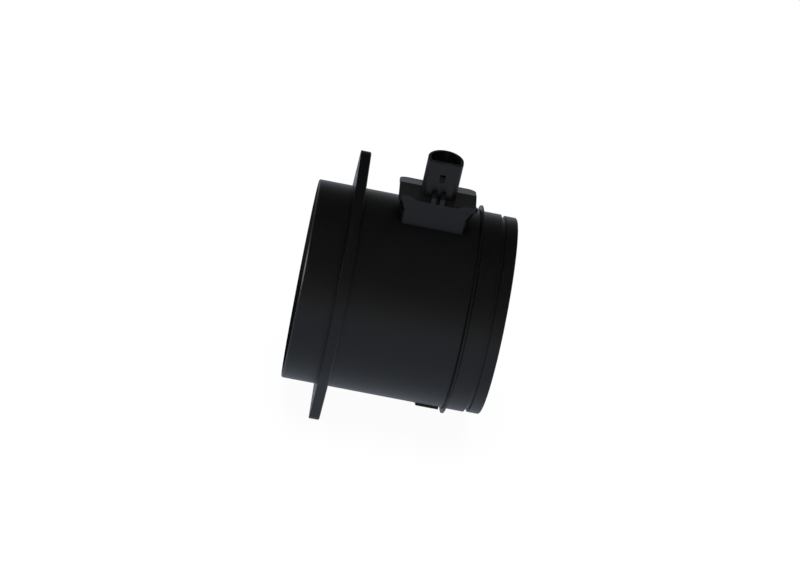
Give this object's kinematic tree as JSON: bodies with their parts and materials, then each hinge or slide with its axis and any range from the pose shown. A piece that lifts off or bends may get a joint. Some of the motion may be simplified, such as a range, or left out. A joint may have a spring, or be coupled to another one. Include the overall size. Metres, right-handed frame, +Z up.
{
  "type": "mass airflow sensor",
  "caption": "Mass airflow sensor: moulded intake tube with a two-eared flange, hose collar and groove, an inlet screen and straightener, and a plug-in measuring blade with a D-shaped connector.",
  "frame": {"origin": "on the tube's axis, in the mounting face of the flange, midway between the two bolt holes", "axes": "+X along the tube's axis from inlet to outlet, +Z up through the middle of the sensor head and its connector, +Y to the right-hand side looking from the outlet towards the inlet"},
  "size_m": [0.0997, 0.111, 0.1436],
  "materials": {
    "housing_plastic": "glossy black glass-filled polyamide",
    "carrier_plastic": "glossy black glass-filled polyester",
    "cover_plastic": "satin black",
    "straightener_plastic": "satin black",
    "ring_plastic": "satin black",
    "bush_steel": "zinc plated",
    "screen_steel": "bright woven wire",
    "seal_rubber": "matt",
    "plate_aluminium": "plain rolled",
    "board_ceramic": "plain white alumina",
    "chip_plastic": "matt",
    "component_ceramic": "plain",
    "film_glass": "smooth",
    "bead_glass": "glassy",
    "lead_wire": "bright",
    "terminal_brass": "tin plated"
  },
  "bodies": {
    "root": {"tube_housing": "housing_plastic", "sensor_carrier": "carrier_plastic", "ear_bush_upper": "bush_steel", "ear_bush_lower": "bush_steel", "flow_straightener": "straightener_plastic", "inlet_screen": "screen_steel", "screen_ring": "ring_plastic", "head_seal": "seal_rubber", "electronics_cover": "cover_plastic", "bypass_cover": "cover_plastic", "base_plate": "plate_aluminium", "circuit_board": "board_ceramic", "processor_chip": "chip_plastic", "board_components": "component_ceramic", "sensing_element": "film_glass", "thermistor_bead": "bead_glass", "thermistor_leads": "lead_wire", "terminal_1": "terminal_brass", "terminal_2": "terminal_brass", "terminal_3": "terminal_brass", "terminal_4": "terminal_brass"}
  },
  "joints": []
}
